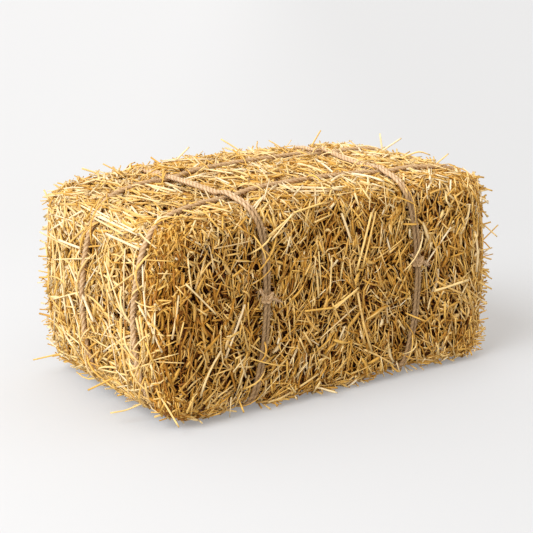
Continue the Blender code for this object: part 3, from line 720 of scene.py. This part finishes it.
def lay_rim(heaps, rim):
    """Stalks that lie flat on one face and reach out past one of its edges."""
    flat, over, n, longest = rim
    points = rng.uniform(LOW, HIGH, (n, 3))
    for axis, sign, inset in ((flat[0], flat[1], 0.0), (over[0], over[1], rng.uniform(0.015, 0.055, n))):
        points[:, axis] = (HIGH[axis] if sign > 0 else LOW[axis]) - sign * inset
    points = settle(points, -rng.uniform(0.001, 0.012, n))
    along = rng.normal(0, 0.42, (n, 3))
    along[:, flat[0]] = flat[1] * rng.normal(0.10, 0.14, n)
    along[:, over[0]] = over[1]
    along = unit(along)
    length = rng.uniform(0.05, 0.10, n)
    half_width = rng.uniform(0.0011, 0.0023, n)
    tip = points + along * length[:, None] * 0.6
    reach = longest * rng.uniform(0.25, 1.0, n)
    back = np.maximum(envelope(tip, False) - reach, 0)
    start = points - along * (back + 0.4 * length)[:, None]
    line = start[:, None] + along[:, None] * length[:, None, None] * np.linspace(0, 1, 4)[None, :, None]
    line = line + rng.normal(0, 0.0025, (n, 1, 3)) * np.array([0, 1, 1, 0])[None, :, None]
    line = keep_above_floor(line, half_width)
    put(heaps, points, line, half_width, rng.uniform(0.5, 1.0, n), rng.uniform(0.30, 0.95, n),
        rng.uniform(0.88, 1.05, n), 6, hollow=0.002)


def lay_over_cords(heaps, routes):
    """Stalks that lie over the cords here and there, their ends tucked into the straw beside them."""
    for name, spots in OVER_CORDS.items():
        route = routes[name]
        for low, high, count in spots:
            inside = np.all((route > np.array(low)) & (route < np.array(high)), axis=1)
            if not inside.any():
                continue
            places = route[inside][rng.integers(0, inside.sum(), count)]
            places = settle(places, -0.002) + rng.normal(0, 0.004, (count, 3))
            normals = slope(places)
            along = unit(rng.normal(0, 1, (count, 3)))
            along = unit(along - normals * np.sum(along * normals, axis=1, keepdims=True))
            length = rng.uniform(0.045, 0.10, count)
            s = np.linspace(-1, 1, 6)[None, :, None]
            shift = along * (rng.uniform(-0.25, 0.25, count) * length)[:, None]
            line = (places + shift)[:, None] + along[:, None] * length[:, None, None] / 2 * s
            line = line + normals[:, None] * (0.0175 * (1 - s**2) - 0.004)
            half_width = rng.uniform(0.0012, 0.0022, count)
            line = keep_above_floor(line, half_width)
            put(heaps, places, line, half_width, rng.uniform(0.5, 1.0, count), rng.uniform(0.4, 0.9, count),
                rng.uniform(0.90, 1.0, count), 6, hollow=0.002, clear=False)


def lay_features(heaps):
    """The stalks that catch the eye, each placed one by one."""
    planes = {"left": (0, -HALF_LENGTH), "top": (2, BALE_HEIGHT), "front": (1, -HALF_WIDTH)}
    for face, one, two, width, tone in FEATURES:
        axis, level = planes[face]
        ends = np.insert(np.array([one, two]), axis, level, axis=1)
        line = ends[0] + (ends[1] - ends[0]) * np.linspace(0, 1, 7)[:, None]
        line = settle(line, 0.004)
        line = smooth(line, 6, False)
        put(heaps, line[3:4], line[None], np.array([width / 2]), np.array([0.7]), np.array([tone]),
            np.array([0.98]), 8, hollow=0.003, clear=False)


def add_core(heap, flake):
    """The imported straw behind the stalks: the flake's own form, moved in."""
    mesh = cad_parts[flake].data
    count = len(mesh.vertices)
    points = np.zeros(count * 3)
    mesh.vertices.foreach_get("co", points)
    points = points.reshape(count, 3)
    inner = points.copy()
    for _ in range(3):
        out = np.maximum(envelope(inner) + CORE_DEPTH, 0)
        inner = inner - slope(inner) * out[..., None]
    faces = np.array([tuple(p.vertices) for p in mesh.polygons])
    # The core is painted dark: painted shade for the gaps between the stalks
    tint = np.tile([0.1, 0.14, 0.0, 1.0], (count, 1))
    heap.add(inner[None], (faces,), inner[None], tint[None])


# Materials

# Colours of the straw from brown to pale, and the colours of painted shade that dim straw and cords by how
# deep they lie
STRAW_TONES = (
    (0.00, (0.34, 0.138, 0.016)),
    (0.28, (0.56, 0.279, 0.033)),
    (0.55, (0.76, 0.460, 0.103)),
    (0.80, (0.84, 0.615, 0.268)),
    (1.00, (0.88, 0.740, 0.505)),
)
STRAW_DEPTHS = (
    (0.00, (0.030, 0.009, 0.002)),
    (0.30, (0.320, 0.150, 0.034)),
    (0.65, (0.730, 0.580, 0.350)),
    (1.00, (1.0, 1.0, 1.0)),
)
# Painted shade inside the hollow cut ends of stalks
STRAW_HOLLOW_SHADE_COLOUR = (0.09, 0.045, 0.015)
CORD_DEPTHS = (
    (0.00, (0.01, 0.005, 0.002)),
    (0.65, (0.64, 0.57, 0.44)),
    (1.00, (1.0, 1.0, 1.0)),
)


def node_of(tree, kind, **values):
    made = tree.nodes.new(kind)
    for key, value in values.items():
        setattr(made, key, value)
    return made


def maths(tree, operation, *values, clamp=False):
    """A math node on its inputs, each a socket or a number."""
    made = node_of(tree, "ShaderNodeMath", operation=operation, use_clamp=clamp)
    for place, value in zip(made.inputs, values):
        if isinstance(value, (int, float)):
            place.default_value = value
        else:
            tree.links.new(value, place)
    return made.outputs[0]


def stops(tree, factor, colours):
    """A colour ramp through (place, colour) pairs."""
    ramp = node_of(tree, "ShaderNodeValToRGB")
    while len(ramp.color_ramp.elements) < len(colours):
        ramp.color_ramp.elements.new(0.5)
    for element, (place, colour) in zip(ramp.color_ramp.elements, colours):
        element.position = place
        element.color = (*colour, 1)
    tree.links.new(factor, ramp.inputs[0])
    return ramp.outputs[0]


def blend_colour(tree, kind, factor, one, two):
    mixed = node_of(tree, "ShaderNodeMix", data_type="RGBA", blend_type=kind)
    for place, value in ((0, factor), (6, one), (7, two)):
        if isinstance(value, (int, float)):
            mixed.inputs[place].default_value = value
        elif isinstance(value, tuple):
            mixed.inputs[place].default_value = (*value, 1)
        else:
            tree.links.new(value, mixed.inputs[place])
    return mixed.outputs[2]


def new_material(name):
    made = bpy.data.materials.new(name)
    made.use_nodes = True
    tree = made.node_tree
    return made, tree, tree.nodes["Principled BSDF"]


def noise(tree, vector, scale, detail):
    made = node_of(tree, "ShaderNodeTexNoise")
    made.inputs["Scale"].default_value = scale
    made.inputs["Detail"].default_value = detail
    tree.links.new(vector, made.inputs["Vector"])
    return made.outputs["Fac"]


def carried(tree):
    """What each stalk or cord carries: its grain, tone, painted shade, and painted shade inside a hollow cut
    end.
    """
    grain = node_of(tree, "ShaderNodeAttribute", attribute_name="grain").outputs["Vector"]
    tint = node_of(tree, "ShaderNodeAttribute", attribute_name="tint")
    parts = node_of(tree, "ShaderNodeSeparateColor")
    tree.links.new(tint.outputs["Color"], parts.inputs[0])
    return grain, *parts.outputs


def surface(tree, shader, colour, roughness, specular, height, strength, distance):
    """Sets a surface's colour and gloss, and roughens it by a height."""
    tree.links.new(colour, shader.inputs["Base Color"])
    shader.inputs["Roughness"].default_value = roughness
    shader.inputs["Specular IOR Level"].default_value = specular
    bump = node_of(tree, "ShaderNodeBump")
    bump.inputs["Strength"].default_value = strength
    bump.inputs["Distance"].default_value = distance
    tree.links.new(height, bump.inputs["Height"])
    tree.links.new(bump.outputs[0], shader.inputs["Normal"])


def straw_material():
    made, tree, shader = new_material("straw_stalks")
    grain, tone, shade, hollow_shade = carried(tree)
    streak = noise(tree, grain, 900, 4)
    patch = noise(tree, grain, 160, 2)
    wander = maths(tree, "MULTIPLY_ADD", patch, 0.36, -0.18)
    colour = stops(tree, maths(tree, "ADD", tone, wander, clamp=True), STRAW_TONES)
    light = maths(tree, "MULTIPLY_ADD", streak, 0.7, 0.65)
    colour = blend_colour(tree, "MULTIPLY", 1.0, colour, light)
    # Painted shade, darker and browner the deeper a stalk lies
    colour = blend_colour(tree, "MULTIPLY", 1.0, colour, stops(tree, shade, STRAW_DEPTHS))
    # Painted shade darkens the hollow cut ends
    colour = blend_colour(tree, "MIX", hollow_shade, colour, STRAW_HOLLOW_SHADE_COLOUR)
    surface(tree, shader, colour, 0.50, 0.26, streak, 0.35, 0.0004)
    return made


def cord_material(name, dark, middle, light):
    made, tree, shader = new_material(name)
    grain, _, shade, _ = carried(tree)
    fibres = noise(tree, grain, 1100, 5)
    patch = noise(tree, grain, 130, 2)
    place = maths(tree, "MULTIPLY_ADD", fibres, 0.75, -0.10)
    place = maths(tree, "ADD", place, maths(tree, "MULTIPLY", patch, 0.35), clamp=True)
    colour = stops(tree, place, ((0.15, dark), (0.5, middle), (0.85, light)))
    # Painted shade, browner as it darkens
    colour = blend_colour(tree, "MULTIPLY", 1.0, colour, stops(tree, shade, CORD_DEPTHS))
    surface(tree, shader, colour, 0.85, 0.25, fibres, 0.8, 0.0007)
    return made


# Cords


def resample(points, spacing, closed):
    """Evenly spaced points along a line."""
    if closed:
        points = np.vstack([points, points[:1]])
    run = np.concatenate([[0], np.cumsum(np.linalg.norm(np.diff(points, axis=0), axis=1))])
    count = max(4, int(round(run[-1] / spacing)))
    at = np.linspace(0, run[-1], count + 1)
    if closed:
        at = at[:-1]
    return np.stack([np.interp(at, run, points[:, i]) for i in range(3)], axis=1)


def smooth(points, rounds, closed):
    for _ in range(rounds):
        if closed:
            points = (np.roll(points, 1, axis=0) + 2 * points + np.roll(points, -1, axis=0)) / 4
        else:
            inner = (points[:-2] + 2 * points[1:-1] + points[2:]) / 4
            points = np.vstack([points[:1], inner, points[-1:]])
    return points


def add_cord(heap, points, radius, strands, sides, pitch, closed, shade, ends=1.0):
    """Adds one twisted cord along points, with a lobe for each of its strands."""
    n = len(points)
    if closed:
        along = unit(np.roll(points, -1, axis=0) - np.roll(points, 1, axis=0))
    else:
        along = unit(np.gradient(points, axis=0))
    side = np.zeros((n, 3))
    side[0] = unit(np.cross(along[0], [0.3, 0.2, 1.0]))
    for i in range(1, n):
        side[i] = unit(side[i - 1] - along[i] * np.dot(side[i - 1], along[i]))
    lift = np.cross(along, side)
    run = np.concatenate([[0], np.cumsum(np.linalg.norm(np.diff(points, axis=0), axis=1))])
    if closed:
        total = run[-1] + np.linalg.norm(points[0] - points[-1])
        turns = round(total / pitch)
        back = unit(side[-1] - along[0] * np.dot(side[-1], along[0]))
        gap = math.atan2(np.dot(np.cross(side[0], back), along[0]), np.dot(side[0], back))
        twist = run / total * (2 * math.pi * turns - gap)
    else:
        twist = run / pitch * 2 * math.pi
    angle = 2 * math.pi * np.arange(sides) / sides
    lobe = np.tile(np.abs(np.cos(strands / 2 * angle)), (n, 1))
    reach = radius * (0.81 + 0.21 * lobe)
    if not closed:
        reach = reach * np.linspace(1, ends, n)[:, None]
    turned = angle[None] + twist[:, None]
    u, v = reach * np.cos(turned), reach * np.sin(turned)
    rim = points[:, None] + u[..., None] * side[:, None] + v[..., None] * lift[:, None]
    verts = rim.reshape(-1, 3)
    grain = np.stack([
        reach * np.cos(angle)[None],
        reach * np.sin(angle)[None],
        np.broadcast_to((run * 0.10)[:, None], reach.shape),
    ], axis=-1).reshape(-1, 3)
    tint = np.ones((n * sides, 4))
    # Painted shade in the grooves between strands, times the cord's own painted shade
    tint[:, 1] = ((0.60 + 0.40 * lobe) * shade).ravel()
    if not closed:
        verts = np.vstack([verts, points[:1], points[-1:]])
        grain = np.vstack([grain, grain[:1], grain[-1:]])
        tint = np.vstack([tint, tint[:1], tint[-1:]])
    heap.add(verts[None], tube_faces(n, sides, closed), grain[None] + rng.uniform(0, 9, 3), tint[None])


def add_fuzz(heap, points, radius, count, length):
    """Short loose fibres that stand off a cord."""
    pick = rng.integers(0, len(points) - 1, count)
    base = points[pick]
    along = unit(points[(pick + 1) % len(points)] - points[pick])
    out = unit(np.cross(along, rng.normal(0, 1, (count, 3))))
    size = rng.uniform(0.4, 1.0, count) * length
    lean = unit(out + along * rng.normal(0, 1.2, (count, 1)))
    s = np.linspace(0, 1, 3)[None, :, None]
    start = base + out * radius * 0.8
    curl = rng.normal(0, 1, (count, 1, 3)) * size[:, None, None] * 0.25
    line = start[:, None] + lean[:, None] * size[:, None, None] * s + curl * s**2
    line[..., 2] = np.maximum(line[..., 2], 0.001)
    add_straws(heap, line, np.full(count, 0.00022), np.ones(count), np.ones(count), np.full(count, 1.0), 3)


def first_loop(half, count):
    """Places across and up of a nearly square loop round the bale."""
    turn = np.linspace(0, 2 * math.pi, count, endpoint=False)
    across = (half + LOOP_MARGIN) * np.sign(np.cos(turn)) * np.abs(np.cos(turn)) ** LOOP_POWER
    up = MID_HEIGHT + (MID_HEIGHT + LOOP_MARGIN) * np.sign(np.sin(turn)) * np.abs(np.sin(turn)) ** LOOP_POWER
    return across, up


def rope_route(rope):
    """A rope's closed line over the top, down the right end, under the bale and up the left end."""
    x, z = first_loop(HALF_LENGTH, 1200)
    points = np.stack([x, rope_line_y(rope, x, z), z], axis=1)
    for _ in range(12):
        points = points - slope(points) * (envelope(points) - ROPE_RADIUS)[:, None]
        points[:, 1] = rope_line_y(rope, points[:, 0], points[:, 2])
    points = smooth(resample(points, 0.012, True), 3, True)
    return resample(points, 0.005, True)


def twine_route(twine):
    """The line midway between a cross twine's two strands."""
    y, z = first_loop(HALF_WIDTH, 900)
    points = np.stack([twine_x(twine, y, z), y, z], axis=1)
    for _ in range(12):
        away = np.minimum(*[np.abs(points[:, 1] - rope_y(rope, points[:, 0])) for rope in ROPES])
        crossing = np.exp(-((away / 0.016) ** 2)) * (points[:, 2] > MID_HEIGHT)
        level = 0.0042 + 0.0135 * crossing
        low = points[:, 2] < 0.02
        level = np.where(low, np.minimum(level, 0.0055), level)
        points = points - slope(points) * (envelope(points) - level)[:, None]
        points[:, 0] = twine_x(twine, points[:, 1], points[:, 2])
        points[:, 2] = np.maximum(points[:, 2], TWINE_RADIUS + 0.001)
    points = smooth(resample(points, 0.008, True), 2, True)
    return resample(points, 0.0045, True)


def build_rope(rope, route, material):
    heap = Heap()
    # Painted shade darkens the rope everywhere but over the left end
    over_left_end = np.clip((-route[:, 0] - END_RIM) / END_ROUNDING, 0, 1)
    shade = TOP_ROPE_SHADE + (1 - TOP_ROPE_SHADE) * over_left_end[:, None]
    add_cord(heap, route, ROPE_RADIUS, ROPE_STRANDS, 12, ROPE_PITCH, True, shade)
    add_fuzz(heap, route, ROPE_RADIUS, ROPE_FUZZ, ROPE_FUZZ_LENGTH)
    z = ROPES[rope]["knot"]
    y = float(rope_y(rope, HALF_LENGTH))
    centre = settle(np.array([[HALF_LENGTH, y, z]]), 0.010)[0]
    add_knot(heap, centre, np.array([1.0, 0, 0]), np.array([0, 0, 1.0]), ROPE_RADIUS * 0.8,
             ROPE_RADIUS * 1.15, ROPE_RADIUS * 1.15, ROPE_TAIL, ROPE_STRANDS)
    return heap.build(rope + "_twisted", material)


def add_knot(heap, centre, out, up, radius, half_across, half_out, tail, strands):
    """Two slanted turns round the cords, a locking turn over them and two tails."""
    side = np.cross(up, out)
    turn = np.linspace(0, 2 * math.pi, 40, endpoint=False)
    for rise, tilt in KNOT_TURNS:
        loop = (
            centre
            + np.cos(turn)[:, None] * side * half_across * 1.25
            + np.sin(turn)[:, None] * out * half_out * 1.05
            + up * (rise * radius + tilt * half_across * np.cos(turn))[:, None]
        )
        add_cord(heap, loop, radius, strands, KNOT_SIDES, radius * 5, True, KNOT_SHADE)
    s = np.linspace(-1, 1, 12)[:, None]
    front = out * (half_out * 1.9 - radius * 0.6 * np.abs(s) ** 2)
    lock = centre + front + up * s * radius * 2.0 + side * s * radius * 1.1
    add_cord(heap, lock, radius * 0.95, strands, KNOT_SIDES, radius * 5, False, KNOT_SHADE)
    for sign, lift in KNOT_TAILS:
        s = np.linspace(0, 1, 16)[:, None]
        line = (
            centre
            + out * (half_out * 1.2 + 0.3 * tail * s - 0.25 * tail * s**2)
            - side * sign * (half_across * 0.6 + tail * 0.75 * s)
            + up * lift * tail * s**1.3
        )
        add_cord(heap, line, radius * 0.85, strands, KNOT_SIDES, radius * 5, False, KNOT_SHADE, 0.7)
        add_fuzz(heap, line, radius * 0.6, 40, 0.010)


def build_twine(twine, middle, material):
    heap = Heap()
    along = unit(np.roll(middle, -1, axis=0) - np.roll(middle, 1, axis=0))
    across = unit(np.cross(along, slope(middle)))
    plan = TWINES[twine]
    before = middle[:, 1] < -0.15
    near = np.exp(-(((middle[:, 2] - plan["knot"]) / KNOT_REACH) ** 2)) * before
    above = np.exp(-(((middle[:, 2] - plan["knot"] - KNOT_SPREAD_RISE) / KNOT_REACH) ** 2)) * before
    apart = TWINE_SPACING / 2 * (1 - 0.18 * near + 0.15 * above)
    # Painted shade darkens the twine on the front
    on_front = np.clip((-middle[:, 1] - FRONT_SHADE_START) / FRONT_SHADE_REACH, 0, 1)
    shade = (1 - (1 - FRONT_TWINE_SHADE) * on_front)[:, None]
    for sign in (-1, 1):
        strand = middle + across * (sign * apart)[:, None]
        add_cord(heap, strand, TWINE_RADIUS, TWINE_STRANDS, 9, TWINE_PITCH, True, shade)
        add_fuzz(heap, strand, TWINE_RADIUS, TWINE_FUZZ, TWINE_FUZZ_LENGTH)
    z = plan["knot"]
    x = float(twine_x(twine, -HALF_WIDTH, z))
    centre = settle(np.array([[x, -HALF_WIDTH, z]]), 0.0045)[0]
    add_knot(heap, centre, np.array([0, -1.0, 0]), np.array([0, 0, 1.0]), TWINE_RADIUS * 1.05,
             TWINE_SPACING * 0.5 + TWINE_RADIUS, TWINE_RADIUS * 1.25, TWINE_TAIL, TWINE_STRANDS)
    return heap.build(twine + "_twisted", material)


# Loose stalks


def stalk_line(node):
    """Ring centres of a loose stalk's solid, from its root to its tip."""
    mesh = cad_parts[node].data
    points = np.zeros(len(mesh.vertices) * 3)
    mesh.vertices.foreach_get("co", points)
    points = np.unique(points.reshape(-1, 3).round(6), axis=0)
    centre = points.mean(axis=0)
    axis = np.linalg.svd(points - centre)[2][0]
    order = np.argsort((points - centre) @ axis)
    points = points[order]
    place = (points - centre) @ axis
    breaks = np.nonzero(np.diff(place) > 0.006)[0] + 1
    rings = np.array([group.mean(axis=0) for group in np.split(points, breaks)])
    if envelope(rings[:1])[0] > envelope(rings[-1:])[0]:
        rings = rings[::-1]
    return rings


def build_stalk(node, material):
    heap = Heap()
    rings = resample(stalk_line(node), 0.009, False)
    rings = smooth(rings, 1, False)
    half_width = rng.uniform(0.0019, 0.0025) * (1 - 0.2 * np.linspace(0, 1, len(rings)))
    add_straws(heap, rings[None], half_width[None], np.array([0.85]), np.array([rng.uniform(0.45, 0.95)]),
               np.array([1.0]), 8, hollow=0.003)
    return heap.build(node + "_stalk", material)


# Studio


def build_floor():
    """A pale floor that reaches past the edges of the picture."""
    bpy.ops.mesh.primitive_plane_add(size=FLOOR_SIZE, location=(0, 0, -0.0004))
    floor = bpy.context.object
    floor.name = "floor"
    made, tree, shader = new_material("pale_floor")
    place = node_of(tree, "ShaderNodeNewGeometry").outputs["Position"]
    colour = FLOOR_COLOUR
    for direction, near, far, low, high in FLOOR_FADES:
        along = node_of(tree, "ShaderNodeVectorMath", operation="DOT_PRODUCT")
        along.inputs[1].default_value = direction
        tree.links.new(place, along.inputs[0])
        share = node_of(tree, "ShaderNodeMapRange", interpolation_type="SMOOTHSTEP")
        for socket, value in zip(share.inputs[1:5], (near, far, low, high)):
            socket.default_value = value
        tree.links.new(along.outputs["Value"], share.inputs[0])
        colour = blend_colour(tree, "MULTIPLY", 1.0, colour, share.outputs[0])
    tree.links.new(colour, shader.inputs["Base Color"])
    # The floor glows: painted light that lifts the shadows on it
    tree.links.new(colour, shader.inputs["Emission Color"])
    shader.inputs["Emission Strength"].default_value = FLOOR_GLOW
    shader.inputs["Roughness"].default_value = 0.9
    shader.inputs["Specular IOR Level"].default_value = 0.1
    floor.data.materials.append(made)


def build_key_light():
    """A broad sun that points at the middle of the bale."""
    data = bpy.data.lights.new("key", "SUN")
    data.angle = math.radians(KEY_ANGLE)
    data.energy = KEY_STRENGTH
    data.color = KEY_COLOUR
    lamp = bpy.data.objects.new("key", data)
    lamp.location = KEY_FROM
    lamp.rotation_euler = (Vector((0, 0, MID_HEIGHT)) - Vector(KEY_FROM)).to_track_quat("-Z", "Y").to_euler()
    lamp.visible_camera = False
    bpy.context.scene.collection.objects.link(lamp)


def build_camera():
    azimuth, elevation = math.radians(CAMERA_AZIMUTH), math.radians(CAMERA_ELEVATION)
    back = Vector((math.sin(azimuth) * math.cos(elevation), -math.cos(azimuth) * math.cos(elevation),
                   math.sin(elevation)))
    data = bpy.data.cameras.new("camera")
    data.sensor_width = 36
    data.lens = FOCAL_PIXELS / PHOTO_PIXELS * data.sensor_width
    camera = bpy.data.objects.new("camera", data)
    camera.location = Vector(CAMERA_TARGET) + back * CAMERA_DISTANCE
    camera.rotation_euler = (-back).to_track_quat("-Z", "Y").to_euler()
    bpy.context.scene.collection.objects.link(camera)
    bpy.context.scene.camera = camera


def build_studio():
    scene = bpy.context.scene
    world = bpy.data.worlds.new("studio")
    scene.world = world
    world.use_nodes = True
    dome = world.node_tree.nodes["Background"]
    dome.inputs["Color"].default_value = (*DOME_COLOUR, 1)
    dome.inputs["Strength"].default_value = DOME_STRENGTH
    build_key_light()
    build_floor()
    build_camera()
    scene.view_settings.view_transform = "Standard"
    scene.view_settings.look = "None"


def build_straw(routes, material):
    heaps = [Heap() for _ in range(FLAKE_COUNT)]
    for face in FACES:
        for layer in LAYERS:
            lay(heaps, face, layer)
        lay_fibres(heaps, face)
        lay_long(heaps, face)
        lay_sprigs(heaps, face)
    for rim in RIMS:
        lay_rim(heaps, rim)
    lay_over_cords(heaps, routes)
    lay_features(heaps)
    for i, heap in enumerate(heaps):
        flake = f"flake_{i + 1:02d}"
        add_core(heap, flake)
        piece = heap.build(flake + "_straw", material)
        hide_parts(flake)
        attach(piece, "root")


def main():
    straw = straw_material()
    rope = cord_material("jute_rope", (0.46, 0.28, 0.14), (0.76, 0.53, 0.31), (0.93, 0.75, 0.52))
    twine = cord_material("jute_twine", (0.42, 0.26, 0.135), (0.74, 0.52, 0.32), (0.92, 0.75, 0.54))
    routes = {name: rope_route(name) for name in ROPES}
    routes.update({name: twine_route(name) for name in TWINES})
    build_straw(routes, straw)
    for name in ROPES:
        piece = build_rope(name, routes[name], rope)
        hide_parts(name)
        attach(piece, "root")
    for name in TWINES:
        piece = build_twine(name, routes[name], twine)
        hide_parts(name)
        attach(piece, "root")
    for node in sorted(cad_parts):
        if node.startswith("loose_stalk"):
            piece = build_stalk(node, straw)
            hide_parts(node)
            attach(piece, "root")
    build_studio()


main()
